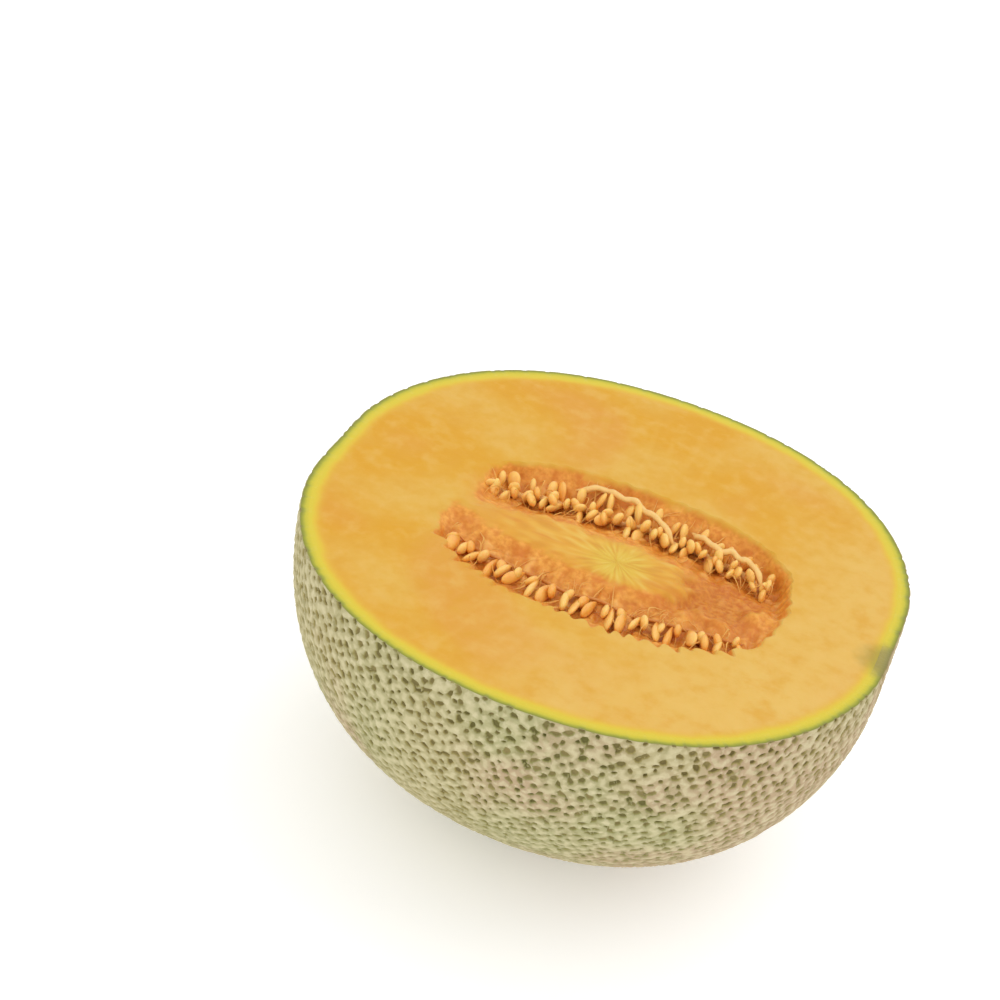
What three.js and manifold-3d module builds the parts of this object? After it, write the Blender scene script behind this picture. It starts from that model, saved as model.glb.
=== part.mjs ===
// Half of a round netted cantaloupe melon, cut lengthwise through its seed cavity.
// Millimetres, +Z up. X runs along the fruit's axis, with the stem end at +X, and the cut face looks up.
// The origin is the middle of the small flat spot that the half rests on.
import * as THREE from 'three';
import { ConvexHull } from 'three/addons/math/ConvexHull.js';
import { mergeVertices } from 'three/addons/utils/BufferGeometryUtils.js';
import Module from 'manifold-3d';

// The whole fruit: close to a ball, with flattened ends and sides.
const MELON_RADIUS = 76;
const FLATTENING = 0.016; // share of the radius lost at the ends and round the girth
const END_DIMPLE_DEPTH = 1.6; // at the stem scar and at the blossom scar
const END_DIMPLE_ANGLE = 0.2; // radians, seen from the middle of the fruit

// The cut and the flat spot.
const CUT_ABOVE_MIDDLE = 4.4; // the half is a little more than half
const FOOT_DEPTH = 1.8; // how much of the round underside is pressed flat

// The rind, with its net of cork left standing between small pits.
const RIND_THICKNESS = 3;
const PIT_SPACING = 7.9;
const PIT_HALF_WIDTH = 2.5;
const PIT_DEPTH = 1.8;
const PIT_SCATTER = 0.15; // share of the spacing that a pit may stray
const NET_UNEVENNESS = 0.12;

// The seed cavity, as it lies in the cut face.
const CAVITY_MIDDLE_X = 3;
const CAVITY_MIDDLE_Y = -5;
const CAVITY_HALF_LENGTH = 44;
const CAVITY_HALF_WIDTH = 31;
const CAVITY_DEPTH = 24;
const CAVITY_BLUNTNESS = 2.6; // 2 would make the outline an ellipse; more fills out its ends

// The pulp that fills it: a core from the blossom end, a trough of seeds along each side of it, and a hollow
// at the stem end. Depths are from the cut face; places and widths are shares of the cavity's half sizes. A trough
// slopes gently up to the core and more steeply to the wall.
const CORE_DEPTH = 0.8;
const END_HOLLOW = { depth: 4, along: 0.66, halfLength: 0.36, halfWidth: 0.6 };
const FAR_TROUGH = { side: 1, depth: 5, place: 0.66, toCore: 0.54, toWall: 0.4, strandPlace: 0.68 };
const NEAR_TROUGH = { side: -1, depth: 3, place: 0.68, toCore: 0.42, toWall: 0.36, strandPlace: 0.58 };

// The seeds, rooted in a strand along each trough. A rank of them points out towards the wall; the far strand
// has a second rank that points back towards the core.
const SEED_LENGTH = 9;
const SEED_WIDTH = 4.2;
const SEED_THICKNESS = 2.2;
const SEED_ROW_REACH = 0.84; // share of the cavity's half length
const END_SEED_SHRINK = 0.3; // seeds at the ends of a rank are this much shorter
const SEED_SPLAY = 0.3; // radians by which the seeds at the ends of a rank lean away from its middle
const SEED_STRAY = { yaw: 0.3, pitch: 0.15, roll: 0.6 }; // radians either way
const STRAND_RADIUS = 1.1;
const STRAND_SINK = 0.82; // share of the pulp's depth at which a strand runs
const STRAND_STEPS = 18;
const SEEDED_SHARE = 0.96; // share of a strand that carries seeds
const FAR_RANKS = [
  { seeds: 19, outward: 1, lengthShare: 0.8, rise: 0.45 },
  { seeds: 18, outward: -1, lengthShare: 0.8, rise: 0.3 },
];
const NEAR_RANKS = [{ seeds: 20, outward: 1, lengthShare: 1, rise: 0 }];

const GAP = 0.3; // left between pieces that touch
const BALL_DETAIL = 6;
const CAVITY_SEGMENTS = 36;
const CAVITY_RINGS = 10;

const DOWN = new THREE.Vector3(0, 0, -1);
const GOLDEN_ANGLE = Math.PI * (3 - Math.sqrt(5));

const wasm = await Module();
wasm.setup();

// A closed geometry as a solid that can be joined and cut.
function solidOf(geometry) {
  const bare = new THREE.BufferGeometry().setAttribute('position', geometry.getAttribute('position'));
  if (geometry.index) bare.setIndex(geometry.index);
  const merged = mergeVertices(bare, 1e-4);
  return new wasm.Manifold(new wasm.Mesh({
    numProp: 3,
    vertProperties: new Float32Array(merged.attributes.position.array),
    triVerts: new Uint32Array(merged.index.array),
  }));
}

function geometryOf(solid) {
  const { vertProperties, triVerts } = solid.getMesh();
  const geometry = new THREE.BufferGeometry()
    .setAttribute('position', new THREE.BufferAttribute(vertProperties, 3))
    .setIndex(new THREE.BufferAttribute(triVerts, 1))
    .toNonIndexed();
  geometry.computeVertexNormals();
  return geometry;
}

function indexed(points, triangles) {
  const geometry = new THREE.BufferGeometry().setFromPoints(points);
  return geometry.setIndex(triangles);
}

// A repeatable value from -1 to 1 for the nth piece; each purpose has its own step.
function stray(n, step) {
  const turns = (n + 1) * step;
  return 2 * (turns - Math.floor(turns)) - 1;
}

// Distance from the middle of the fruit to the top of the net, in a given direction.
function skinRadius(direction) {
  const fromAxis = Math.acos(THREE.MathUtils.clamp(direction.x, -1, 1));
  const fromEnd = Math.min(fromAxis, Math.PI - fromAxis);
  const dimple = END_DIMPLE_DEPTH * Math.exp(-((fromEnd / END_DIMPLE_ANGLE) ** 2));
  return MELON_RADIUS * (1 - FLATTENING * Math.cos(4 * fromAxis)) - dimple;
}

const middle = new THREE.Vector3(0, 0, skinRadius(DOWN) - FOOT_DEPTH);
const cutHeight = middle.z + CUT_ABOVE_MIDDLE;

function onSkin(direction, offset) {
  return direction.clone().multiplyScalar(skinRadius(direction) + offset).add(middle);
}

// A block that takes away everything above or below a level.
function block(lowZ, highZ) {
  const side = 4 * MELON_RADIUS;
  return solidOf(new THREE.BoxGeometry(side, side, highZ - lowZ).translate(0, 0, (lowZ + highZ) / 2));
}
const aboveTheCut = block(cutHeight, cutHeight + 2 * MELON_RADIUS);
const belowTheFoot = block(-2 * MELON_RADIUS, 0);

// The fruit's form with a smooth skin, set in from the net by a given depth.
function smoothBall(depth) {
  const ball = new THREE.IcosahedronGeometry(1, BALL_DETAIL);
  const place = ball.getAttribute('position');
  const direction = new THREE.Vector3();
  for (let i = 0; i < place.count; i++) {
    direction.fromBufferAttribute(place, i).normalize();
    place.setXYZ(i, ...onSkin(direction, -depth));
  }
  return solidOf(ball);
}

// The fruit's form with the net: pits spread evenly over the skin, each a sunk point in a ring of four corners.
// The points' hull on a unit ball joins each to its neighbours, and the skin's radius then gives them their height.
function nettedBall() {
  const count = Math.round((4 * Math.PI * MELON_RADIUS ** 2) / PIT_SPACING ** 2);
  const coveredTo = (CUT_ABOVE_MIDDLE + PIT_SPACING) / MELON_RADIUS;
  const points = [];
  const heights = new Map();
  const add = (direction, height) => {
    const point = direction.clone().normalize();
    points.push(point);
    heights.set(point, height);
  };
  for (let i = 0; i < count; i++) {
    const z = 1 - (2 * i + 1) / count;
    const turn = i * GOLDEN_ANGLE;
    const across = Math.sqrt(1 - z * z);
    const centre = new THREE.Vector3(across * Math.cos(turn), across * Math.sin(turn), z);
    if (z > coveredTo) {
      if (i % 5 === 0) add(centre, 0); // bare, since the cut takes it away
      continue;
    }
    const east = new THREE.Vector3(-Math.sin(turn), Math.cos(turn), 0);
    const north = new THREE.Vector3().crossVectors(centre, east);
    const strayBy = (PIT_SCATTER * PIT_SPACING) / MELON_RADIUS;
    centre.addScaledVector(east, strayBy * stray(i, 0.7549)).addScaledVector(north, strayBy * stray(i, 0.5698));
    add(centre, -PIT_DEPTH * (1 + 0.2 * stray(i, 0.3819)));
    for (let corner = 0; corner < 4; corner++) {
      const n = 4 * i + corner;
      const angle = (corner + stray(i, 0.618) + 0.2 * stray(n, 0.8191)) * (Math.PI / 2);
      const reach = (PIT_HALF_WIDTH * (1 + 0.2 * stray(n, 0.6711))) / MELON_RADIUS;
      const at = centre.clone()
        .addScaledVector(east, reach * Math.cos(angle))
        .addScaledVector(north, reach * Math.sin(angle));
      add(at, NET_UNEVENNESS * stray(n, 0.2205));
    }
  }
  const order = new Map(points.map((point, i) => [point, i]));
  const triangles = [];
  for (const face of new ConvexHull().setFromPoints(points).faces) {
    let edge = face.edge;
    do {
      triangles.push(order.get(edge.head().point));
      edge = edge.next;
    } while (edge !== face.edge);
  }
  return solidOf(indexed(points.map((point) => onSkin(point, heights.get(point))), triangles));
}

// How far out a place in the cavity lies: 0 in the middle, 1 on the outline. u and v run from -1 to 1.
function cavityReach(u, v) {
  return (Math.abs(u) ** CAVITY_BLUNTNESS + Math.abs(v) ** CAVITY_BLUNTNESS) ** (1 / CAVITY_BLUNTNESS);
}

// How far the troughs and strands bow in towards the middle line, as the cavity does.
function bow(u) {
  return Math.sqrt(1 - 0.75 * u * u);
}

// Depth of the pulp's surface under the cut face.
function pulpDepth(u, v) {
  const inside = Math.max(0, 1 - cavityReach(u, v) ** 2);
  const dip = (q) => Math.max(0, 1 - q * q) ** 2;
  const [far, near] = [FAR_TROUGH, NEAR_TROUGH].map(({ side, depth, place, toCore, toWall }) => {
    const offset = v * side - place * bow(u);
    return depth * dip(offset / (offset < 0 ? toCore : toWall));
  });
  const end = END_HOLLOW.depth
    * dip((u - END_HOLLOW.along) / END_HOLLOW.halfLength) * dip(v / END_HOLLOW.halfWidth);
  return (CORE_DEPTH + Math.hypot(far, near, end)) * Math.min(1, 4 * inside);
}

function inCavity(u, v, depth) {
  return new THREE.Vector3(
    CAVITY_MIDDLE_X + u * CAVITY_HALF_LENGTH,
    CAVITY_MIDDLE_Y + v * CAVITY_HALF_WIDTH,
    cutHeight - depth,
  );
}

// The bowl that the pulp lies in, as a whole egg shape whose lower half is cut out of the flesh.
function cavityEgg() {
  const egg = new THREE.SphereGeometry(1, CAVITY_SEGMENTS, 2 * CAVITY_RINGS).rotateX(Math.PI / 2);
  const place = egg.getAttribute('position');
  for (let i = 0; i < place.count; i++) {
    const [u, v] = [place.getX(i), place.getY(i)];
    const fill = Math.hypot(u, v) / Math.max(cavityReach(u, v), 1e-9);
    place.setXYZ(i, ...inCavity(u * fill, v * fill, -CAVITY_DEPTH * place.getZ(i)));
  }
  return solidOf(egg);
}

// The pulp before the seeds press into it: the bowl's form below, the core and troughs above.
function pulpBody() {
  const shrink = 1 - GAP / CAVITY_DEPTH - GAP / CAVITY_HALF_WIDTH;
  const points = [inCavity(0, 0, pulpDepth(0, 0)), inCavity(0, 0, CAVITY_DEPTH * shrink)];
  const triangles = [];
  const at = (ring, segment, below) => {
    const side = ring === CAVITY_RINGS ? 0 : below; // the two faces share the outermost ring
    return 2 + (2 * (ring - 1) + side) * CAVITY_SEGMENTS + (segment % CAVITY_SEGMENTS);
  };
  for (let ring = 1; ring <= CAVITY_RINGS; ring++) {
    const slope = (ring / CAVITY_RINGS) * (Math.PI / 2);
    for (const below of ring === CAVITY_RINGS ? [0] : [0, 1]) {
      for (let segment = 0; segment < CAVITY_SEGMENTS; segment++) {
        const turn = (segment / CAVITY_SEGMENTS) * 2 * Math.PI;
        const reach = (Math.sin(slope) * shrink) / cavityReach(Math.cos(turn), Math.sin(turn));
        const [u, v] = [reach * Math.cos(turn), reach * Math.sin(turn)];
        points.push(inCavity(u, v, below ? CAVITY_DEPTH * shrink * Math.cos(slope) : pulpDepth(u, v)));
      }
    }
  }
  for (let segment = 0; segment < CAVITY_SEGMENTS; segment++) {
    triangles.push(0, at(1, segment, 0), at(1, segment + 1, 0));
    triangles.push(1, at(1, segment + 1, 1), at(1, segment, 1));
    for (let ring = 1; ring < CAVITY_RINGS; ring++) {
      for (const below of [0, 1]) {
        const [a, b] = [at(ring, segment, below), at(ring, segment + 1, below)];
        const [c, d] = [at(ring + 1, segment + 1, below), at(ring + 1, segment, below)];
        triangles.push(...(below ? [a, b, c, a, c, d] : [a, c, b, a, d, c]));
      }
    }
  }
  return solidOf(indexed(points, triangles));
}

// A flat drop-shaped seed with its point at the origin, lying along +X; grow fattens it all round.
function seedGeometry(length, grow) {
  const seed = new THREE.SphereGeometry(1, 5, 4);
  seed.rotateZ(-Math.PI / 2);
  const place = seed.getAttribute('position');
  for (let i = 0; i < place.count; i++) {
    const fullness = 0.85 + 0.2 * place.getX(i);
    place.setXYZ(
      i,
      (place.getX(i) + 1) * (length / 2) + place.getX(i) * grow,
      place.getY(i) * fullness * (SEED_WIDTH / 2 + grow),
      place.getZ(i) * fullness * (SEED_THICKNESS / 2 + grow),
    );
  }
  return seed;
}

// Where the strand of a trough runs, from -1 at the blossom end to 1 at the stem end.
function strandPoint(along, trough) {
  const u = along * SEED_ROW_REACH;
  const v = trough.side * trough.strandPlace * bow(u);
  return inCavity(u, v, pulpDepth(u, v) * STRAND_SINK);
}

function strand(trough, grow) {
  const path = [];
  for (let i = 0; i <= STRAND_STEPS; i++) path.push(strandPoint((2 * i) / STRAND_STEPS - 1, trough));
  const section = new THREE.Shape().absarc(0, 0, STRAND_RADIUS + grow, 0, 2 * Math.PI);
  return solidOf(new THREE.ExtrudeGeometry(section, {
    extrudePath: new THREE.CatmullRomCurve3(path),
    steps: STRAND_STEPS,
    curveSegments: 3,
    bevelEnabled: false,
  }));
}

// A strand with its ranks of seeds, each with its point sunk in the strand.
function seedRow(trough, ranks, grow) {
  let row = strand(trough, grow);
  for (const { seeds, outward, lengthShare, rise } of ranks) {
    for (let i = 0; i < seeds; i++) {
      const n = i + seeds;
      const along = (2 * i) / (seeds - 1) - 1;
      const facing = trough.side * outward;
      const yaw = facing * (Math.PI / 2 - SEED_SPLAY * along) + SEED_STRAY.yaw * stray(n, 0.618);
      const pitch = SEED_STRAY.pitch * stray(n, 0.7549) - rise;
      const roll = Math.PI / 2 + SEED_STRAY.roll * stray(n, 0.5698);
      const length = SEED_LENGTH * lengthShare * (1 - END_SEED_SHRINK * along * along);
      const root = strandPoint(SEEDED_SHARE * along, trough);
      const seed = seedGeometry(length, grow).rotateX(roll).rotateY(pitch).rotateZ(yaw);
      row = row.add(solidOf(seed.translate(root.x, root.y, root.z)));
    }
  }
  return row;
}

function coloured(name, solid, colour, roughness) {
  const mesh = new THREE.Mesh(
    geometryOf(solid),
    new THREE.MeshStandardMaterial({ color: colour, roughness, metalness: 0 }),
  );
  mesh.name = name;
  return mesh;
}

const rind = nettedBall().subtract(smoothBall(RIND_THICKNESS)).subtract(aboveTheCut).subtract(belowTheFoot);
const flesh = smoothBall(RIND_THICKNESS + GAP).subtract(aboveTheCut).subtract(cavityEgg());
const pulp = pulpBody()
  .subtract(seedRow(FAR_TROUGH, FAR_RANKS, GAP))
  .subtract(seedRow(NEAR_TROUGH, NEAR_RANKS, GAP));

const melonHalf = new THREE.Group();
melonHalf.add(
  coloured('rind', rind, 0xc6bb8e, 0.8),
  coloured('flesh', flesh, 0xe8ad45, 0.45),
  coloured('pulp', pulp, 0xd9832c, 0.35),
  coloured('seeds_far_row', seedRow(FAR_TROUGH, FAR_RANKS, 0), 0xf0cb8c, 0.4),
  coloured('seeds_near_row', seedRow(NEAR_TROUGH, NEAR_RANKS, 0), 0xf0cb8c, 0.4),
);

export default melonHalf;
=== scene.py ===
import math

import bmesh
import bpy
import numpy as np
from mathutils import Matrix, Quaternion, Vector, noise
from mathutils.geometry import delaunay_2d_cdt


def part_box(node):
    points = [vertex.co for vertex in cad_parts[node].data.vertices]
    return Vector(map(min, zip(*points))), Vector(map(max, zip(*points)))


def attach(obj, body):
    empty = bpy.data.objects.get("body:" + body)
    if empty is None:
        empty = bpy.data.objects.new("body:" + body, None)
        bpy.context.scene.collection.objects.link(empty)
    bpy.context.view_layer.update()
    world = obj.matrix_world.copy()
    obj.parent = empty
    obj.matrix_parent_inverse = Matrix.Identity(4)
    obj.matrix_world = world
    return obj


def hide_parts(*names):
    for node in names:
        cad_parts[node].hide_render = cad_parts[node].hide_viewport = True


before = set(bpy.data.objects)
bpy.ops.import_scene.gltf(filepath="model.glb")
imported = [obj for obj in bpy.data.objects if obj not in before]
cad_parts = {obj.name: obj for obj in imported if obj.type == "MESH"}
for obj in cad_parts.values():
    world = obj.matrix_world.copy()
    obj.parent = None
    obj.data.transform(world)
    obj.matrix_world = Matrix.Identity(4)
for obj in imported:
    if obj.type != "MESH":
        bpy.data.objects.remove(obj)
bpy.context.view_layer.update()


# Camera
# A long lens looks down on the cut face from the front, and a little from the stem end.
# The camera is rolled, so the cut face leans to the right in the picture.
CAMERA_PLACE = Vector((0.0799, -0.4397, 0.3760))
CAMERA_LOOKS_AT = Vector((-0.0289, -0.0010, 0.0774))
CAMERA_ROLL = math.radians(12.4)
LENS = 79.2

camera = bpy.data.objects.new("camera", bpy.data.cameras.new("camera"))
bpy.context.collection.objects.link(camera)
camera.data.lens = LENS
camera.data.sensor_width = 36
camera.location = CAMERA_PLACE
camera.rotation_mode = "QUATERNION"
level_turn = (CAMERA_LOOKS_AT - CAMERA_PLACE).to_track_quat("-Z", "Y")
camera.rotation_quaternion = level_turn @ Quaternion((0, 0, 1), CAMERA_ROLL)
bpy.context.scene.camera = camera
bpy.context.scene.view_settings.view_transform = "Standard"


# Rind
# The skin of the fruit: a thin green layer under a raised net of pale cork, with small olive pits between
# the net's strands. It has grown as one with the flesh, and the knife shows its green edge.
MELON_RADIUS = 0.076
FLATTENING = 0.016
DIMPLE_DEPTH = 0.0016
DIMPLE_ANGLE = 0.2
CUT_ABOVE_MIDDLE = 0.0044
RIND_THICKNESS = 0.003
PIT_SPACING = 0.0028
PIT_REACH = 0.00098
PIT_DEPTH = 0.00065
PIT_SCATTER = 0.26
PIT_SIZES = (0.6, 1.3)
PIT_STRETCHES = (1.0, 1.4)
PIT_CORNERS = 7
LIP_RAGGEDNESS = (0.75, 1.25)
FLOOR_SHARE = 0.6
MIDDLE_SINK = 1.1
KNOT_RISE = 0.3
KNOT_CLEARANCE = 1.1
CORK_ROUGHNESS = 0.0002
CORK_LUMPS = 60.0
RIM_SMOOTHNESS = 0.6
STEM_DIRECTION = np.array((0.9957, -0.0926, 0))
STEM_SCAR_ANGLE = 0.085
BLOSSOM_SCAR_ANGLE = 0.05
SCAR_SINK = 1.2
NET_SEED = 7
GOLDEN_ANGLE = math.pi * (3 - math.sqrt(5))
EDGE_LOOP_DEPTHS = (0.0003, 0.0008, 0.0014, 0.0022, RIND_THICKNESS)
WALL_LOOP_TILTS = (12, 32, 55, 80)

cut_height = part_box("flesh")[1].z
middle_height = cut_height - CUT_ABOVE_MIDDLE
STAIN_PLACE = (0.0725, -0.009, cut_height)
STAIN_REACH = (0.003, 0.009)
STAIN_RAGGEDNESS = 0.004


class Wire:
    """An output socket of a node. Arithmetic on wires and numbers adds Math nodes to the wire's tree."""

    def __init__(self, socket):
        self.socket = socket
        self.tree = socket.id_data

    @staticmethod
    def node(tree, kind, settings=None, sockets=None, output=0):
        """Adds a node: its settings first, then the values or wires of its sockets, by name or number."""
        made = tree.nodes.new(kind)
        for name, value in (settings or {}).items():
            if name == "stops":
                ramp = made.color_ramp.elements
                while len(ramp) < len(value):
                    ramp.new(1)
                for stop, (place, colour) in zip(ramp, value):
                    stop.position = place
                    stop.color = colour
            else:
                setattr(made, name, value)
        for key, value in (sockets or {}).items():
            if isinstance(value, Wire):
                tree.links.new(value.socket, made.inputs[key])
            else:
                made.inputs[key].default_value = value
        return Wire(made.outputs[output])

    def math(self, operation, *others, flipped=False):
        terms = [self, *others]
        if flipped:
            terms.reverse()
        return Wire.node(self.tree, "ShaderNodeMath", {"operation": operation}, dict(enumerate(terms)))

    def rise(self, low, high):
        """Goes smoothly from 0 at low to 1 at high."""
        smooth = {"interpolation_type": "SMOOTHSTEP"}
        return Wire.node(self.tree, "ShaderNodeMapRange", smooth, {0: self, 1: low, 2: high})

    def __add__(self, other):
        return self.math("ADD", other)

    def __radd__(self, other):
        return self.math("ADD", other)

    def __sub__(self, other):
        return self.math("SUBTRACT", other)

    def __rsub__(self, other):
        return self.math("SUBTRACT", other, flipped=True)

    def __mul__(self, other):
        return self.math("MULTIPLY", other)

    def __rmul__(self, other):
        return self.math("MULTIPLY", other)

    def __truediv__(self, other):
        return self.math("DIVIDE", other)

    def __rtruediv__(self, other):
        return self.math("DIVIDE", other, flipped=True)

    def __pow__(self, other):
        return self.math("POWER", other)


def paint(code):
    """A colour as seen on screen, written as six hex digits, in the linear values that shaders take."""
    shades = [int(code[i:i + 2], 16) / 255 for i in (0, 2, 4)]
    linear = [s / 12.92 if s <= 0.04045 else ((s + 0.055) / 1.055) ** 2.4 for s in shades]
    return (*linear, 1)


def mixed(factor, first, second):
    """One colour over another, by a factor that varies over the surface."""
    sockets = {0: factor, 6: first, 7: second}
    return Wire.node(factor.tree, "ShaderNodeMix", {"data_type": "RGBA"}, sockets, output=2)


def new_material(name):
    material = bpy.data.materials.new(name)
    material.use_nodes = True
    return material, material.node_tree, material.node_tree.nodes["Principled BSDF"]


def connect(wire, shader, socket):
    wire.tree.links.new(wire.socket, shader.inputs[socket])


def object_place(tree):
    return Wire.node(tree, "ShaderNodeTexCoord", output=3)


def speckle(tree, place, size, detail=3.0):
    """Noise from 0 to 1 with features of about the given size in metres."""
    sockets = {"Vector": place, "Scale": 1 / size, "Detail": detail, "Roughness": 0.55}
    return Wire.node(tree, "ShaderNodeTexNoise", None, sockets)


def surface_value(tree, name):
    """A value kept on the mesh's points under a name."""
    return Wire.node(tree, "ShaderNodeAttribute", {"attribute_name": name}, output=2)


def bumped(tree, height, distance, strength):
    sockets = {"Height": height, "Distance": distance, "Strength": strength}
    return Wire.node(tree, "ShaderNodeBump", None, sockets)


def new_geometry_tree(name, sizes):
    """A geometry tree with a mesh and some named sizes coming in, and its group output."""
    tree = bpy.data.node_groups.new(name, "GeometryNodeTree")
    tree.interface.new_socket("Geometry", in_out="INPUT", socket_type="NodeSocketGeometry")
    tree.interface.new_socket("Geometry", in_out="OUTPUT", socket_type="NodeSocketGeometry")
    for size in sizes:
        tree.interface.new_socket(size, in_out="INPUT", socket_type="NodeSocketFloat")
    start = tree.nodes.new("NodeGroupInput")
    given = {socket.name: Wire(socket) for socket in start.outputs if socket.name}
    return tree, given, tree.nodes.new("NodeGroupOutput")


def grown(name, base, tree, sizes):
    """Runs a geometry tree on a mesh and leaves the result as a plain mesh in a new object."""
    piece = bpy.data.objects.new(name, base)
    bpy.context.collection.objects.link(piece)
    modifier = piece.modifiers.new("grow", "NODES")
    modifier.node_group = tree
    for socket in tree.interface.items_tree:
        if socket.in_out == "INPUT" and socket.name in sizes:
            modifier[socket.identifier] = sizes[socket.name]
    depsgraph = bpy.context.evaluated_depsgraph_get()
    evaluated = piece.evaluated_get(depsgraph)
    mesh = bpy.data.meshes.new_from_object(evaluated, preserve_all_data_layers=True, depsgraph=depsgraph)
    piece.modifiers.remove(modifier)
    piece.data = mesh
    return piece


def keep_value(mesh, name, values):
    mesh.attributes.new(name, "FLOAT", "POINT").data.foreach_set("value", values)


def unrolled(points):
    """Points of a unit ball laid flat, as seen from its top, so that the underside is in the middle."""
    return points[:, :2] / (1 - points[:, 2:])


def joined(points):
    """Triangles that join each point of the ball to its nearest neighbours."""
    return delaunay_2d_cdt(unrolled(points).tolist(), [], [], 0, 1e-9)[2]


def net_points():
    """Points of the net on a unit ball, from its foot to just above the cut, with the depth and tone of each.
    A pit has a ragged lip (0), a smaller floor (1) and a middle; the knots of the net stand proud.
    Pits die out on the smooth sunken scars at the two ends of the fruit."""
    draw = np.random.default_rng(NET_SEED)
    count = round(4 * math.pi * (MELON_RADIUS / PIT_SPACING) ** 2)
    order = np.arange(count)
    height = 1 - (2 * order + 1) / count
    order = order[height < (CUT_ABOVE_MIDDLE + 2 * PIT_SPACING) / MELON_RADIUS]
    height = height[order]
    pits = len(order)
    turn = order * GOLDEN_ANGLE
    level = np.sqrt(1 - height ** 2)
    middle = np.column_stack([level * np.cos(turn), level * np.sin(turn), height])
    east = np.column_stack([-np.sin(turn), np.cos(turn), np.zeros(pits)])
    north = np.cross(middle, east)
    scatter = draw.uniform(-1, 1, (pits, 2)) * PIT_SCATTER * PIT_SPACING / MELON_RADIUS
    middle += scatter[:, :1] * east + scatter[:, 1:] * north

    reach = draw.uniform(*PIT_SIZES, (pits, 1)) * PIT_REACH / MELON_RADIUS
    stretch = draw.uniform(*PIT_STRETCHES, (pits, 1))
    lean = draw.uniform(0, math.pi, (pits, 1))
    corner = np.linspace(0, 2 * math.pi, PIT_CORNERS, endpoint=False)
    ragged = draw.uniform(*LIP_RAGGEDNESS, (pits, PIT_CORNERS))
    along = reach * stretch * np.cos(corner) * ragged
    across = reach / stretch * np.sin(corner) * ragged
    eastward = (along * np.cos(lean) - across * np.sin(lean))[..., None] * east[:, None]
    northward = (along * np.sin(lean) + across * np.cos(lean))[..., None] * north[:, None]
    lip = (middle[:, None] + eastward + northward).reshape(-1, 3)
    floor = (middle[:, None] + FLOOR_SHARE * (eastward + northward)).reshape(-1, 3)

    triangles = np.array(joined(middle))
    knot = middle[triangles].mean(axis=1)
    to_pits = np.linalg.norm(middle[triangles] - knot[:, None], axis=-1)
    knot = knot[(to_pits > KNOT_CLEARANCE * (reach * stretch)[triangles, 0]).all(axis=1)]

    points = np.concatenate([middle, lip, floor, knot])
    points /= np.linalg.norm(points, axis=-1, keepdims=True)
    sunk = np.repeat([MIDDLE_SINK, 0, 1, -KNOT_RISE], [pits, len(lip), len(floor), len(knot)])
    from_stem = np.arccos(np.clip(points @ STEM_DIRECTION, -1, 1))
    from_blossom = np.arccos(np.clip(-points[:, 0], -1, 1))
    scar = np.exp(-((from_stem / STEM_SCAR_ANGLE) ** 4)) + np.exp(-((from_blossom / BLOSSOM_SCAR_ANGLE) ** 4))
    tone = draw.uniform(0, 1, pits)
    ringed = np.repeat(tone, PIT_CORNERS)
    tone = np.concatenate([tone, ringed, ringed, draw.uniform(0, 1, len(knot))])
    return points, {"pit": sunk * (1 - scar) + SCAR_SINK * scar, "scar": scar, "tone": tone}


def rind_base():
    """The netted skin on a unit ball, with its cut edge and its inner wall. Each point keeps its depth under
    the skin, and rim is 1 on the cut edge."""
    points, values = net_points()
    mesh = bpy.data.meshes.new("rind")
    mesh.from_pydata(points.tolist(), [], joined(points))
    for name in ("pit", "scar", "tone", "depth", "rim"):
        keep_value(mesh, name, values.get(name, np.zeros(len(points))))
    bowl = bmesh.new()
    bowl.from_mesh(mesh)
    depth = bowl.verts.layers.float["depth"]
    rim = bowl.verts.layers.float["rim"]
    everything = bowl.verts[:] + bowl.edges[:] + bowl.faces[:]
    level = (0, 0, CUT_ABOVE_MIDDLE / MELON_RADIUS)
    bmesh.ops.bisect_plane(bowl, geom=everything, plane_co=level, plane_no=(0, 0, 1), clear_outer=True)
    edges = [edge for edge in bowl.edges if edge.is_boundary]
    for edge in edges:
        for vert in edge.verts:
            vert[rim] = 1
    corners = edges
    loops = [(loop_depth, None) for loop_depth in EDGE_LOOP_DEPTHS]
    loops += [(RIND_THICKNESS, math.radians(tilt)) for tilt in WALL_LOOP_TILTS]
    for loop_depth, tilt in loops:
        made = bmesh.ops.extrude_edge_only(bowl, edges=edges)["geom"]
        edges = [item for item in made if isinstance(item, bmesh.types.BMEdge) and item.is_boundary]
        verts = [item for item in made if isinstance(item, bmesh.types.BMVert)]
        for vert in verts:
            direction = vert.co.normalized()
            if tilt is not None:
                flat = Vector((direction.x, direction.y, 0)).normalized()
                direction = flat * math.cos(tilt) - Vector((0, 0, math.sin(tilt)))
            vert.co = direction * (1 - loop_depth / MELON_RADIUS)
            vert[depth] = loop_depth
            vert[rim] = 1 if tilt is None else 0
        if tilt is None and loop_depth == RIND_THICKNESS:
            corners = corners + edges
    bmesh.ops.pointmerge(bowl, verts=verts, merge_co=(0, 0, RIND_THICKNESS / MELON_RADIUS - 1))
    bmesh.ops.recalc_face_normals(bowl, faces=bowl.faces[:])
    for face in bowl.faces:
        face.smooth = True
    for edge in corners:
        edge.smooth = False
    bowl.to_mesh(mesh)
    bowl.free()
    return mesh


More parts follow.
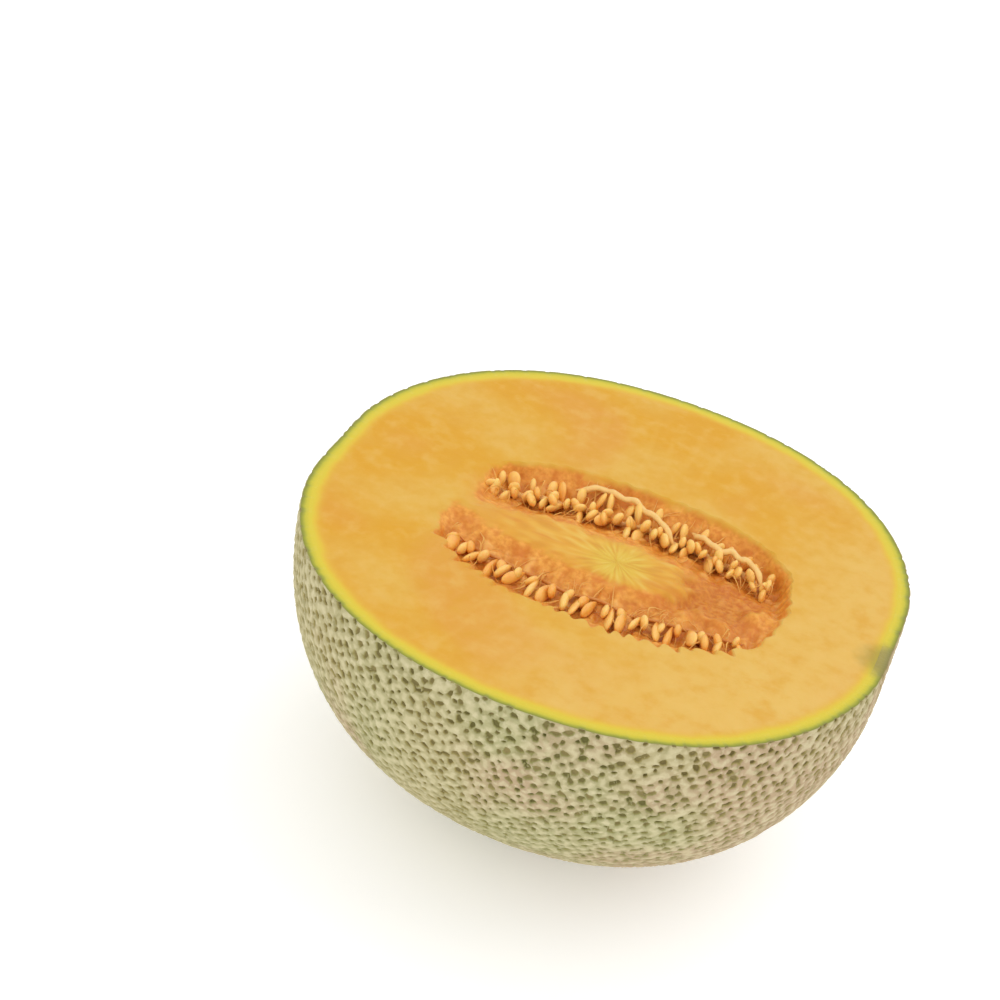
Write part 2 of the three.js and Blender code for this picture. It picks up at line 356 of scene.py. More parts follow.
def net_tree(material):
    """Gives the ball the fruit's form, sinks the pits in its skin and roughens the cork between them."""
    names = ("Melon radius", "Flattening", "Dimple depth", "Dimple angle", "Middle height", "Cut height",
             "Rind thickness", "Pit depth", "Cork roughness", "Cork lumps", "Rim smoothness")
    tree, given, end = new_geometry_tree("netted_rind", names)
    place = Wire.node(tree, "GeometryNodeInputPosition")
    direction = Wire.node(tree, "ShaderNodeVectorMath", {"operation": "NORMALIZE"}, {0: place})
    kept = {"data_type": "FLOAT"}
    depth = Wire.node(tree, "GeometryNodeInputNamedAttribute", kept, {"Name": "depth"})
    rim = Wire.node(tree, "GeometryNodeInputNamedAttribute", kept, {"Name": "rim"})
    pit = Wire.node(tree, "GeometryNodeInputNamedAttribute", kept, {"Name": "pit"})

    from_axis = Wire.node(tree, "ShaderNodeSeparateXYZ", None, {0: direction}).math("ARCCOSINE")
    from_end = from_axis.math("MINIMUM", math.pi - from_axis)
    dimple = given["Dimple depth"] * (0 - (from_end / given["Dimple angle"]) ** 2).math("EXPONENT")
    form = given["Melon radius"] * (1 - given["Flattening"] * (from_axis * 4).math("COSINE")) - dimple

    sockets = {"Vector": direction, "Scale": given["Cork lumps"], "Detail": 2.0}
    cork = Wire.node(tree, "ShaderNodeTexNoise", None, sockets)
    relief = given["Pit depth"] * pit + given["Cork roughness"] * cork
    kept_relief = (1 - depth / given["Rind thickness"]) * (1 - given["Rim smoothness"] * rim)
    reach = form - depth - relief * kept_relief
    placed = Wire.node(tree, "ShaderNodeVectorMath", {"operation": "SCALE"}, {0: direction, "Scale": reach})
    x, y, z = [Wire.node(tree, "ShaderNodeSeparateXYZ", None, {0: placed}, output=i) for i in range(3)]
    height = z + given["Middle height"]
    on_foot = height.math("MAXIMUM", 0.0).math("MINIMUM", given["Cut height"])
    level = on_foot * (1 - rim) + given["Cut height"] * rim
    spot = Wire.node(tree, "ShaderNodeCombineXYZ", None, {0: x, 1: y, 2: level})

    sockets = {"Geometry": given["Geometry"], "Position": spot}
    shaped = Wire.node(tree, "GeometryNodeSetPosition", None, sockets)
    whole = Wire.node(tree, "GeometryNodeRealizeInstances", None, {"Geometry": shaped})
    done = Wire.node(tree, "GeometryNodeSetMaterial", None, {"Geometry": whole, "Material": material})
    tree.links.new(done.socket, end.inputs[0])
    return tree


def stem_stain(tree, place):
    """1 where the stem grew into the fruit, fading to 0 some millimetres away."""
    settings = {"operation": "DISTANCE"}
    distance = Wire.node(tree, "ShaderNodeVectorMath", settings, {0: place, 1: STAIN_PLACE}, output=1)
    ragged = distance + STAIN_RAGGEDNESS * (speckle(tree, place, 0.004) - 0.5)
    return 1 - ragged.rise(*STAIN_REACH)


def rind_finish():
    material, tree, shader = new_material("netted_rind")
    place = object_place(tree)
    pit, scar, tone, depth = [surface_value(tree, name) for name in ("pit", "scar", "tone", "depth")]
    stemward = Wire.node(tree, "ShaderNodeSeparateXYZ", None, {0: place})
    blush = (speckle(tree, place, 0.034, detail=2.0) + 2.0 * stemward).rise(0.5, 0.68)
    green = speckle(tree, place, 0.05, detail=1.0).rise(0.4, 0.62)
    grain = speckle(tree, place, 0.0009)
    smear = speckle(tree, place, 0.0022, detail=4.0)
    cork = mixed(green, paint("B4AA7E"), paint("AEA97C"))
    cork = mixed(blush * 0.7, cork, paint("B89A7E"))
    cork = mixed(smear.rise(0.52, 0.68) * 0.7, cork, paint("968E60"))
    cork = mixed((1 - smear).rise(0.52, 0.68) * 0.5, cork, paint("D2C8A2"))
    # The raised knots of the net are painted paler: a painted highlight on the net's high points.
    cork = mixed((0 - pit).rise(0.05, 0.25) * 0.5, cork, paint("D2C8A0"))
    wall = mixed(green, paint("A09258"), paint("969258"))
    floor = mixed(tone, mixed(green, paint("6E6030"), paint("66622E")), paint("948654"))
    skin = mixed(pit.rise(0.05, 0.5), cork, wall)
    skin = mixed(pit.rise(0.4, 0.95), skin, floor)
    scar_lip = mixed(grain, paint("6E6038"), paint("9A8A5E"))
    scar_floor = mixed(grain, paint("94845A"), paint("BCAA82"))
    scar_floor = mixed(smear.rise(0.45, 0.7) * 0.6, scar_floor, paint("7E7048"))
    skin = mixed(scar.rise(0.15, 0.6), skin, mixed(scar.rise(0.6, 0.95), scar_lip, scar_floor))
    edge_stops = [
        (0.0, paint("9C965A")),
        (0.12, paint("868A38")),
        (0.3, paint("A4A434")),
        (0.5, paint("C6BC36")),
        (0.8, paint("D8C438")),
        (1.0, paint("DAC43A")),
    ]
    edge_depth = (depth + 0.0009 * (speckle(tree, place, 0.003) - 0.5)) / RIND_THICKNESS
    edge = Wire.node(tree, "ShaderNodeValToRGB", {"stops": edge_stops}, {0: edge_depth})
    edge = mixed(stem_stain(tree, place) * 0.8, edge, paint("8A7E4A"))
    connect(mixed(depth.rise(0.00005, 0.0003), skin, edge), shader, "Base Color")
    connect(0.85 - 0.2 * pit.rise(0.0, 1.0) - 0.3 * depth.rise(0.0001, 0.001), shader, "Roughness")
    connect(bumped(tree, grain, 0.0003, 0.5), shader, "Normal")
    shader.inputs["Specular IOR Level"].default_value = 0.3
    return material


rind_sizes = {
    "Melon radius": MELON_RADIUS,
    "Flattening": FLATTENING,
    "Dimple depth": DIMPLE_DEPTH,
    "Dimple angle": DIMPLE_ANGLE,
    "Middle height": middle_height,
    "Cut height": cut_height,
    "Rind thickness": RIND_THICKNESS,
    "Pit depth": PIT_DEPTH,
    "Cork roughness": CORK_ROUGHNESS,
    "Cork lumps": CORK_LUMPS,
    "Rim smoothness": RIM_SMOOTHNESS,
}
rind = grown("rind_netted", rind_base(), net_tree(rind_finish()), rind_sizes)
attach(rind, "root")
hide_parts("rind")


# Flesh
# The thick orange layer that is eaten. The knife has left its face flat and moist, with faint fibres that run
# out from the seed cavity, and yellow against the rind. The edge of the cavity is torn by the seeds.
CAVITY_MIDDLE = np.array((0.003, -0.005))
CAVITY_HALF_LENGTH = 0.044
CAVITY_HALF_WIDTH = 0.031
CAVITY_DEPTH = 0.024
CAVITY_BLUNTNESS = 2.6
SEGMENTS = 720
SEED_ROW_REACH = 0.84
SEEDED_SHARE = 0.96
NEAR_SEEDS = 20
NEAR_EDGE_BEGINS = 0.35
NEAR_EDGE_RAMP = 0.3
NOTCH_REACH = 0.003
NOTCH_INSET = 0.0008
FRAY_REACH = 0.0012
FINE_FRAY_REACH = 0.0009
BOWL_SLOPES = (80, 60, 40, 20)
FACE_RINGS = 64
FACE_RELIEF = 0.00012
SKIN_TILTS = (8, 20, 32, 44, 56, 68, 80)
FIBRE_WIDTH = 0.04
FIBRE_CHANGE = 0.08
DEEP_IN_FLESH = 0.03
YELLOW_BAND = 0.004
YELLOW_FADES = (0.0003, 0.0034)
BAND_RAGGEDNESS = 0.0025
FRONT_RIGHT = (0.85, -0.5, 0)
FLESH_GLOW = (0.006, 0.003, 0.001)


def cavity_reach(u, v):
    """0 in the middle of the cavity, 1 on its outline; u and v run from -1 to 1 across it."""
    powers = np.abs(u) ** CAVITY_BLUNTNESS + np.abs(v) ** CAVITY_BLUNTNESS
    return powers ** (1 / CAVITY_BLUNTNESS)


def skin_radius(direction):
    """Distance from the middle of the fruit to the top of the net, for rows of unit directions."""
    from_axis = np.arccos(np.clip(direction[..., 0], -1, 1))
    from_end = np.minimum(from_axis, math.pi - from_axis)
    dimple = DIMPLE_DEPTH * np.exp(-((from_end / DIMPLE_ANGLE) ** 2))
    return MELON_RADIUS * (1 - FLATTENING * np.cos(4 * from_axis)) - dimple


def wobble(points, size, seed):
    """Smooth noise from about -1 to 1 with features of about the given size in metres."""
    offset = Vector((seed * 17.3, seed * 5.1, seed * 9.7))
    flat = points.reshape(-1, 3)
    values = [noise.noise(Vector(point) / size + offset) for point in flat]
    return np.array(values).reshape(points.shape[:-1])


def ring_mesh(name, rings, caps, sharp):
    """A closed mesh through rings of points, with a point at each end and sharp edges along some rings."""
    count = rings.shape[1]
    points = np.concatenate([caps[:1], rings.reshape(-1, 3), caps[1:]])
    faces = []
    last = len(points) - 1
    for n in range(count):
        after = (n + 1) % count
        faces.append((0, 1 + n, 1 + after))
        for ring in range(len(rings) - 1):
            low = 1 + ring * count
            faces.append((low + n, low + count + n, low + count + after, low + after))
        low = 1 + (len(rings) - 1) * count
        faces.append((low + n, last, low + after))
    mesh = bpy.data.meshes.new(name)
    mesh.from_pydata(points.tolist(), [], faces)
    mesh.polygons.foreach_set("use_smooth", [True] * len(mesh.polygons))
    ends = np.empty(2 * len(mesh.edges), dtype=np.int32)
    mesh.edges.foreach_get("vertices", ends)
    edge_rings = (ends.reshape(-1, 2) - 1) // count
    creased = (edge_rings[:, 0] == edge_rings[:, 1]) & np.isin(edge_rings[:, 0], sharp)
    mesh.edges.foreach_set("use_edge_sharp", creased)
    return mesh


def between_seeds(u, seeds):
    """0 at the seat of each seed of a rank, 1 midway between two."""
    seat = (u / (SEED_ROW_REACH * SEEDED_SHARE) + 1) / 2 * (seeds - 1)
    return 0.5 - 0.5 * np.cos(2 * math.pi * seat)


def torn_outline(smooth):
    """How far the cavity's edge is torn out from its smooth outline: notches between the near seeds, frays
    elsewhere."""
    u, v = smooth.T
    spot = np.column_stack([smooth * (CAVITY_HALF_LENGTH, CAVITY_HALF_WIDTH), np.zeros(SEGMENTS)])
    near = np.clip((-v - NEAR_EDGE_BEGINS) / NEAR_EDGE_RAMP, 0, 1)
    notches = between_seeds(0.93 * u + 0.03 * wobble(spot, 0.008, 11), NEAR_SEEDS) ** 1.5
    torn = near * (NOTCH_REACH * notches * (0.55 + 0.6 * wobble(spot, 0.009, 12)) - NOTCH_INSET)
    frays = FRAY_REACH * wobble(spot, 0.008, 13) + FINE_FRAY_REACH * wobble(spot, 0.0027, 14)
    return torn + (1 - 0.5 * near) * frays


turns = np.linspace(0, 2 * math.pi, SEGMENTS, endpoint=False)
around = np.stack([np.cos(turns), np.sin(turns)], axis=-1)
outline_shares = around / cavity_reach(around[:, 0], around[:, 1])[:, None]
outline_shares *= 1 + (torn_outline(outline_shares) / CAVITY_HALF_WIDTH)[:, None]
cavity_outline = CAVITY_MIDDLE + outline_shares * (CAVITY_HALF_LENGTH, CAVITY_HALF_WIDTH)
rim_lift = CUT_ABOVE_MIDDLE / MELON_RADIUS
rim_directions = np.column_stack([around * math.sqrt(1 - rim_lift ** 2), np.full(SEGMENTS, rim_lift)])
rim_reach = np.sqrt(skin_radius(rim_directions) ** 2 - CUT_ABOVE_MIDDLE ** 2)
flesh_outline = around * (rim_reach - RIND_THICKNESS)[:, None]


def cavity_bowl(slopes, depth):
    """Rings round the inside of the cavity, at slopes in degrees from its edge (0) to its bottom (90)."""
    tilts = np.radians(slopes)[:, None, None]
    flat = CAVITY_MIDDLE + np.cos(tilts) * (cavity_outline - CAVITY_MIDDLE)
    height = np.broadcast_to(cut_height - depth * np.sin(tilts), (len(slopes), SEGMENTS, 1))
    return np.concatenate([flat, height], axis=-1)


def flesh_mesh():
    """The flesh as rings from the bottom of the cavity over the cut face and down its outer wall. Each point
    of the face keeps its distance from the rind and the paleness of its fibre."""
    shares = np.linspace(0, 1, FACE_RINGS + 1)[:, None, None]
    flat = cavity_outline + shares * (flesh_outline - cavity_outline)
    face = np.concatenate([flat, np.full((*flat.shape[:2], 1), cut_height)], axis=-1)
    fade = np.sin(shares[..., 0] * math.pi)
    face[..., 2] += FACE_RELIEF * fade * (wobble(face, 0.012, 1) + 0.5 * wobble(face, 0.004, 2))
    bowl = cavity_bowl(BOWL_SLOPES, CAVITY_DEPTH)
    wall = []
    for tilt in np.radians(SKIN_TILTS):
        direction = np.column_stack([around * math.cos(tilt), np.full(SEGMENTS, -math.sin(tilt))])
        wall.append(direction * (skin_radius(direction) - RIND_THICKNESS)[:, None] + (0, 0, middle_height))
    rings = np.concatenate([bowl, face, np.array(wall)])
    foot = middle_height - MELON_RADIUS * (1 - FLATTENING) + RIND_THICKNESS
    caps = np.array([(*CAVITY_MIDDLE, cut_height - CAVITY_DEPTH), (0, 0, foot)])
    mesh = ring_mesh("flesh", rings, caps, (len(bowl), len(bowl) + FACE_RINGS))
    span = np.linalg.norm(flesh_outline - cavity_outline, axis=-1)
    from_rind = np.zeros(rings.shape[:2])
    from_rind[:len(bowl)] = span
    from_rind[len(bowl):len(bowl) + len(face)] = (1 - shares[..., 0]) * span
    keep_value(mesh, "from_rind", np.concatenate([[DEEP_IN_FLESH], from_rind.ravel(), [0]]))
    fibre = np.zeros(rings.shape[:2])
    outward = FIBRE_CHANGE * np.broadcast_to(shares, flat[..., :1].shape)
    spokes = np.concatenate([np.broadcast_to(around, flat.shape), outward], axis=-1)
    fibre[len(bowl):len(bowl) + len(face)] = fade * wobble(spokes, FIBRE_WIDTH, 8)
    keep_value(mesh, "fibre", np.concatenate([[0], fibre.ravel(), [0]]))
    return mesh


def flesh_colour(tree, place):
    """The colour of the flesh away from the rind: clouded amber, and paler at the front right."""
    clouds = speckle(tree, place, 0.024, detail=2.0)
    blush = speckle(tree, place, 0.04, detail=1.0)
    streaks = speckle(tree, place, 0.006, detail=4.0)
    settings = {"operation": "DOT_PRODUCT"}
    frontward = Wire.node(tree, "ShaderNodeVectorMath", settings, {0: place, 1: FRONT_RIGHT}, output=1)
    colour = mixed(clouds.rise(0.38, 0.66), paint("DBA022"), paint("DEAE48"))
    colour = mixed(blush.rise(0.5, 0.66) * 0.8, colour, paint("DC9C3C"))
    colour = mixed(frontward.rise(0.0, 0.055) * 0.65, colour, paint("E2BA62"))
    colour = mixed((1 - streaks).rise(0.45, 0.75) * 0.4, colour, paint("E4BC64"))
    return mixed(streaks.rise(0.45, 0.75) * 0.6, colour, paint("D89C24"))


def flesh_grain(tree, place):
    """The fine wet grain that the knife leaves, on the pulp too, so that no line shows where they meet."""
    return speckle(tree, place, 0.0015)


def make_moist(shader, weight, depths, gloss):
    """Lets light in under the surface, to a depth for each of red, green and blue, and sets the wet gloss."""
    shader.inputs["Subsurface Weight"].default_value = weight
    shader.inputs["Subsurface Radius"].default_value = depths
    shader.inputs["Specular IOR Level"].default_value = gloss


def flesh_finish():
    material, tree, shader = new_material("orange_flesh")
    place = object_place(tree)
    from_rind = surface_value(tree, "from_rind")
    fibre = surface_value(tree, "fibre")
    uneven = from_rind + BAND_RAGGEDNESS * (speckle(tree, place, 0.01) - 0.5)
    band_stops = [
        (0.0, paint("DAC43A")),
        (0.2, paint("DEBE38")),
        (0.5, paint("DEB238")),
        (1.0, paint("DEA830")),
    ]
    band = Wire.node(tree, "ShaderNodeValToRGB", {"stops": band_stops}, {0: uneven / YELLOW_BAND})
    body = mixed(fibre.rise(0.1, 0.6) * 0.12, flesh_colour(tree, place), paint("E4BA5C"))
    colour = mixed(uneven.rise(*YELLOW_FADES), band, body)
    connect(mixed(stem_stain(tree, place) * 0.7, colour, paint("9C8A3C")), shader, "Base Color")
    connect(0.4 + 0.2 * speckle(tree, place, 0.003), shader, "Roughness")
    connect(bumped(tree, flesh_grain(tree, place), 0.0002, 0.4), shader, "Normal")
    make_moist(shader, 0.15, FLESH_GLOW, 0.25)
    return material


flesh = bpy.data.objects.new("flesh_cut", flesh_mesh())
bpy.context.collection.objects.link(flesh)
flesh.data.materials.append(flesh_finish())
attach(flesh, "root")
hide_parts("flesh")


# Pulp
# The wet fibrous tissue that fills the seed cavity: a core with a star of fibres, a seed trough on each side
# of it and a hollow at the stem end. It has grown as one with the flesh.
CORE_DEPTH = 0.0008
CORE_SINKS = (-1.0, -0.4)
END_HOLLOW = {"depth": 0.004, "along": 0.66, "half_length": 0.36, "half_width": 0.6}
FAR_TROUGH = {"side": 1, "depth": 0.005, "place": 0.66, "to_core": 0.54, "to_wall": 0.4, "begins": -0.92}
NEAR_TROUGH = {"side": -1, "depth": 0.003, "place": 0.68, "to_core": 0.42, "to_wall": 0.36, "begins": -1.0}
TROUGH_RAMP = 0.16
BOW = 0.75
EDGE_FADE = 0.11
GAP_DEPTH = 0.0005
LUMP_HEIGHT = 0.001
RAY_HEIGHT = 0.0001
RAY_WIDTH = 0.13
RAY_LENGTH = 0.035
STAR_PLACE = np.array((0.0045, -0.0075))
STAR_REACH = 0.0085
PULP_RINGS = 100
UNDERSIDE_SLOPES = (15, 35, 55, 75)
UNDERSIDE_DEPTH = 0.98 * CAVITY_DEPTH


def bow(u):
    """How far the troughs and strands bow in towards the middle line, as the cavity does."""
    return np.sqrt(1 - BOW * u * u)


def dip(q):
    """1 in the middle of a hollow, falling smoothly to 0 at its edge, where q is 1."""
    return np.maximum(0, 1 - q * q) ** 2


def smooth_step(low, high, value):
    share = np.clip((value - low) / (high - low), 0, 1)
    return share * share * (3 - 2 * share)


def trough_share(u, v, ragged, trough):
    """1 along the bottom of a trough, 0 where it ends at the core and at the wall."""
    offset = v * trough["side"] + ragged - trough["place"] * bow(u)
    begun = smooth_step(trough["begins"], trough["begins"] + TROUGH_RAMP, u)
    return begun * dip(offset / np.where(offset < 0, trough["to_core"], trough["to_wall"]))


def edge_share(u, v):
    """0 in the middle of the cavity, 1 on its torn outline."""
    turn = np.arctan2(v, u) % (2 * math.pi)
    reach = np.interp(turn, turns, np.linalg.norm(outline_shares, axis=-1), period=2 * math.pi)
    return np.hypot(u, v) / reach


def pulp_depth(u, v, ragged=0.0):
    """Depth of the pulp under the cut face, and how far down each trough and the end hollow a place lies."""
    far, near = [trough_share(u, v, ragged, trough) for trough in (FAR_TROUGH, NEAR_TROUGH)]
    end_along = dip((u + 2 * ragged - END_HOLLOW["along"]) / END_HOLLOW["half_length"])
    end = end_along * dip((v + 2 * ragged) / END_HOLLOW["half_width"])
    fade = smooth_step(0, EDGE_FADE, 1 - edge_share(u, v) ** 2)
    trough_depths = (FAR_TROUGH["depth"] * far) ** 2 + (NEAR_TROUGH["depth"] * near) ** 2
    hollow = np.sqrt(trough_depths + (END_HOLLOW["depth"] * end) ** 2)
    core_depth = CORE_DEPTH * smooth_step(*CORE_SINKS, u)
    return (core_depth + hollow) * fade, far * fade, near * fade, end * fade, fade


def pulp_surface(flat):
    """Height of the pulp at flat places, and the values that its colours follow."""
    u = (flat[..., 0] - CAVITY_MIDDLE[0]) / CAVITY_HALF_LENGTH
    v = (flat[..., 1] - CAVITY_MIDDLE[1]) / CAVITY_HALF_WIDTH
    spot = np.concatenate([flat, np.zeros((*flat.shape[:-1], 1))], axis=-1)
    teeth = between_seeds(0.96 * u + 0.02 * wobble(spot, 0.008, 5), NEAR_SEEDS)
    ragged = 0.07 * wobble(spot, 0.009, 3) + 0.05 * wobble(spot, 0.003, 4)
    depth, far, near, end, fade = pulp_depth(u, v, ragged)
    trough = np.maximum(far, near)
    gap = near * teeth
    streaks = wobble(spot * (1, 0.35, 1), 0.0025, 10)
    lumps = np.where(v < 0, streaks, wobble(spot, 0.0032, 6)) + 0.5 * wobble(spot, 0.0013, 9)
    from_star = flat - STAR_PLACE
    reach = np.linalg.norm(from_star, axis=-1, keepdims=True)
    spokes = np.concatenate([from_star / np.maximum(reach, 1e-6), reach / RAY_LENGTH], axis=-1)
    rays = wobble(spokes, RAY_WIDTH, 7)
    strands = wobble(spot * (0.2, 1, 1), 0.0022, 15) + 0.5 * wobble(spot * (0.3, 1, 1), 0.0011, 16)
    wet = np.maximum(trough, 0.6 * end)
    core = fade * smooth_step(*CORE_SINKS, u) * (1 - np.minimum(1, 1.5 * trough)) * (1 - 0.7 * end)
    depth = depth + GAP_DEPTH * gap - wet * LUMP_HEIGHT * lumps - core * RAY_HEIGHT * rays
    values = {
        "core": core,
        "trough": trough,
        "far": far,
        "gap": gap,
        "end": end,
        "lumps": wet * lumps,
        "rays": core * rays,
        "strands": core * strands,
        "star": core * np.exp(-((reach[..., 0] / STAR_REACH) ** 2)),
    }
    return cut_height - depth, values


def pulp_mesh():
    """The pulp as rings from the middle of its top out to the edge of the cavity and back below."""
    shares = (np.arange(1, PULP_RINGS + 1) / PULP_RINGS)[:, None, None]
    flat = CAVITY_MIDDLE + shares * (cavity_outline - CAVITY_MIDDLE)
    height, values = pulp_surface(flat)
    top = np.concatenate([flat, height[..., None]], axis=-1)
    rings = np.concatenate([top, cavity_bowl(UNDERSIDE_SLOPES, UNDERSIDE_DEPTH)])
    middle = (*CAVITY_MIDDLE, height[0].mean())
    caps = np.array([middle, (*CAVITY_MIDDLE, cut_height - UNDERSIDE_DEPTH)])
    mesh = ring_mesh("pulp", rings, caps, (PULP_RINGS - 1,))
    below = np.zeros(len(UNDERSIDE_SLOPES) * SEGMENTS + 1)
    for name, value in values.items():
        keep_value(mesh, name, np.concatenate([[value[0].mean()], value.ravel(), below]))
    return mesh


def pulp_finish():
    material, tree, shader = new_material("wet_pulp")
    place = object_place(tree)
    names = ("core", "trough", "far", "gap", "end", "lumps", "rays", "strands", "star")
    core, trough, far, gap, end, lumps, rays, strands, star = [surface_value(tree, name) for name in names]
    mottle = speckle(tree, place, 0.0014, detail=4.0)
    patches = speckle(tree, place, 0.0045, detail=2.0)
    amber = mixed(strands.rise(0.0, 0.6) * 0.6, paint("DEA034"), paint("D6862A"))
    amber = mixed((0 - strands).rise(0.1, 0.6) * 0.4, amber, paint("E6B850"))
    amber = mixed(star.rise(0.0, 0.9) * 0.7, amber, paint("DCC048"))
    amber = mixed(rays.rise(-0.1, 0.6) * 0.5, amber, paint("CE8826"))
    amber = mixed((0 - rays).rise(0.0, 0.7) * 0.4, amber, paint("E6CC6A"))
    colour = mixed(core.rise(0.0, 0.8), flesh_colour(tree, place), amber)
    slope = mixed(mottle.rise(0.3, 0.7), paint("D8882E"), paint("EEAA4A"))
    slope = mixed(patches.rise(0.45, 0.7) * 0.6, slope, paint("D0721E"))
    ragged_trough = trough + 0.2 * (mottle - 0.5) + 0.2 * (patches - 0.5)
    colour = mixed(ragged_trough.rise(0.02, 0.2), colour, slope)
    hollow = mixed(mottle.rise(0.3, 0.7), paint("C0621A"), paint("D88A34"))
    colour = mixed((end + 0.4 * (mottle - 0.5)).rise(0.05, 0.6) * 0.85, colour, hollow)
    # Darker at the bottom of the far trough: painted shade of the deep trough.
    colour = mixed(far.rise(0.5, 1.0) * 0.5, colour, paint("D2842E"))
    # Darker between the near seeds: partly the pulp's own deeper orange there, partly painted shade between
    # the seeds.
    colour = mixed(gap.rise(0.25, 0.8) * 0.4, colour, paint("D0802C"))
    # Paler on the raised wet lumps and darker in the low places between them: painted highlight and painted
    # shade that follow the lumps' relief.
    colour = mixed(lumps.rise(0.1, 0.55) * 0.6, colour, paint("F6C068"))
    colour = mixed((0 - lumps).rise(0.1, 0.55) * 0.4, colour, paint("C4722A"))
    connect(colour, shader, "Base Color")
    connect(0.5 - 0.12 * trough, shader, "Roughness")
    grain = flesh_grain(tree, place) * (1 - trough) + mottle * trough
    connect(bumped(tree, grain, 0.0003, 0.35), shader, "Normal")
    connect(0.1 * trough, shader, "Coat Weight")
    shader.inputs["Coat Roughness"].default_value = 0.2
    make_moist(shader, 0.3, FLESH_GLOW, 0.25)
    return material


pulp = bpy.data.objects.new("pulp_troughs", pulp_mesh())
bpy.context.collection.objects.link(pulp)
pulp.data.materials.append(pulp_finish())
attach(pulp, "root")
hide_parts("pulp")


# Fibres of the pulp
# Fine wet threads that have grown out of the pulp and cross the troughs, some between the seeds and some in
# an arch over them. Each is a thin tube along a run of points with its ends on the pulp's surface.
THREAD_SEED = 11
FAR_THREADS = 110
NEAR_THREADS = 90
THREAD_POINTS = 9
THREAD_RADIUS = 0.00013
THREAD_SIZES = (0.6, 1.4)
THREAD_TIP = 0.35
THREAD_TONES = (0.3, 1)
THREAD_STARTS = (-0.85, 0.35)
THREAD_LENGTHS = (0.4, 0.9)
THREAD_SPREAD = (-0.84, 0.84)
THREAD_SPLAY = 0.08
THREAD_LEAN = 0.06
THREAD_BEND = 0.03
THREAD_LIFT = 0.0003
THREAD_ARCH = 0.7
THREAD_REACH = 0.97
THREAD_GLOW = (0.003, 0.0015, 0.0006)


def in_cavity(u, v):
    """Flat places in the cut face for shares of the cavity's half length and half width."""
    return CAVITY_MIDDLE + np.stack([u * CAVITY_HALF_LENGTH, v * CAVITY_HALF_WIDTH], axis=-1)


def thread_runs():
    """The runs of points that the threads follow, as one array of runs by points by places."""
    draw = np.random.default_rng(THREAD_SEED)
    steps = np.linspace(0, 1, THREAD_POINTS)
    runs = []
    for trough, count in ((FAR_TROUGH, FAR_THREADS), (NEAR_TROUGH, NEAR_THREADS)):
        start = draw.uniform(*THREAD_STARTS, (count, 1))
        length = draw.uniform(*THREAD_LENGTHS, (count, 1))
        across = trough["place"] + trough["to_wall"] * (start + length * steps)
        lean = draw.normal(0, THREAD_LEAN, (count, 1)) * steps
        bend = draw.normal(0, THREAD_BEND, (count, 1)) * np.sin(math.pi * steps)
        u = draw.uniform(*THREAD_SPREAD, (count, 1)) * (1 + THREAD_SPLAY * across) + lean + bend
        runs.append(in_cavity(u, trough["side"] * across * bow(u)))
    flat = np.concatenate(runs)
    u, v = ((flat - CAVITY_MIDDLE) / (CAVITY_HALF_LENGTH, CAVITY_HALF_WIDTH)).transpose(2, 0, 1)
    flat = flat[(edge_share(u, v) < THREAD_REACH).all(axis=1)]
    surface = pulp_surface(flat)[0]
    arch = draw.uniform(0, THREAD_ARCH, (len(flat), 1)) * (cut_height - surface)
    height = surface + np.sin(math.pi * steps) * (THREAD_LIFT + arch)
    return np.concatenate([flat, height[..., None]], axis=-1)


def run_mesh(name, runs, radius, tone):
    """Runs of points joined by edges, with each point's radius and each run's tone kept on them."""
    count, points = runs.shape[:2]
    first = np.arange(count)[:, None] * points + np.arange(points - 1)
    edges = np.stack([first, first + 1], axis=-1).reshape(-1, 2)
    mesh = bpy.data.meshes.new(name)
    mesh.from_pydata(runs.reshape(-1, 3).tolist(), edges.tolist(), [])
    keep_value(mesh, "radius", np.broadcast_to(radius, (count, points)).ravel())
    keep_value(mesh, "tone", np.broadcast_to(tone, (count, points)).ravel())
    return mesh


def tube_tree(name, material):
    """Turns runs of edges into round tubes with closed ends, as thick as the radius kept on their points."""
    tree, given, end = new_geometry_tree(name, ("Thickness",))
    radius = Wire.node(tree, "GeometryNodeInputNamedAttribute", {"data_type": "FLOAT"}, {"Name": "radius"})
    runs = Wire.node(tree, "GeometryNodeMeshToCurve", None, {"Mesh": given["Geometry"]})
    section = Wire.node(tree, "GeometryNodeCurvePrimitiveCircle", None, {"Resolution": 6, "Radius": 1.0})
    scale = radius * given["Thickness"]
    sockets = {"Curve": runs, "Profile Curve": section, "Scale": scale, "Fill Caps": True}
    tubes = Wire.node(tree, "GeometryNodeCurveToMesh", None, sockets)
    smooth = Wire.node(tree, "GeometryNodeSetShadeSmooth", None, {"Geometry": tubes})
    whole = Wire.node(tree, "GeometryNodeRealizeInstances", None, {"Geometry": smooth})
    done = Wire.node(tree, "GeometryNodeSetMaterial", None, {"Geometry": whole, "Material": material})
    tree.links.new(done.socket, end.inputs[0])
    return tree


def thread_finish():
    material, tree, shader = new_material("wet_fibres")
    place = object_place(tree)
    tone = surface_value(tree, "tone") + 0.3 * (speckle(tree, place, 0.003) - 0.5)
    connect(mixed(tone.rise(0.0, 1.0), paint("D88A34"), paint("EAB45C")), shader, "Base Color")
    connect(0.35 + 0.2 * speckle(tree, place, 0.002), shader, "Roughness")
    make_moist(shader, 0.15, THREAD_GLOW, 0.25)
    return material


